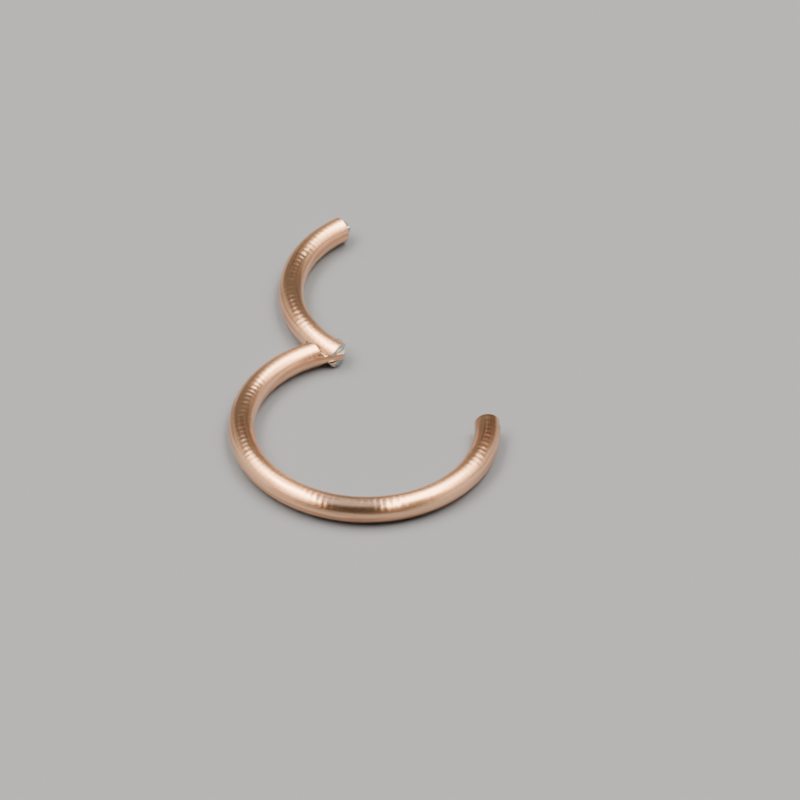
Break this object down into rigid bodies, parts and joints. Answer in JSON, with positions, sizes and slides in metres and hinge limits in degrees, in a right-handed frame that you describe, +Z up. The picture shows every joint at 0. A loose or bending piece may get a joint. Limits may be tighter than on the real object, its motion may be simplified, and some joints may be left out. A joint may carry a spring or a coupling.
{
  "type": "nose ring",
  "caption": "Round wire nose ring whose hinged gate stands open, with a tongue and ears on a pin and a snap catch.",
  "frame": {"origin": "middle of the underside of the box round the ring as it lies on its side with its gate open", "axes": "+Z up from the surface it lies on, +Y from the hoop towards the open gate, +X from the hinge's side towards the catch's side"},
  "size_m": [0.0124, 0.0208, 0.0012],
  "materials": {
    "rose_gold_wire": "polished rose gold with fine lengthwise drawing lines",
    "bare_steel": "bare turned steel"
  },
  "bodies": {
    "ring": {"hoop": "rose_gold_wire"},
    "gate": {"gate": "rose_gold_wire", "hinge_pin": "bare_steel"}
  },
  "joints": [
    {"name": "gate_hinge", "type": "hinge", "parent": "ring", "child": "gate", "pos_m": [-0.00166, 0.00119, 0.0006], "axis": [0, 0, 1], "range_deg": [-121.5, 3.5]}
  ]
}
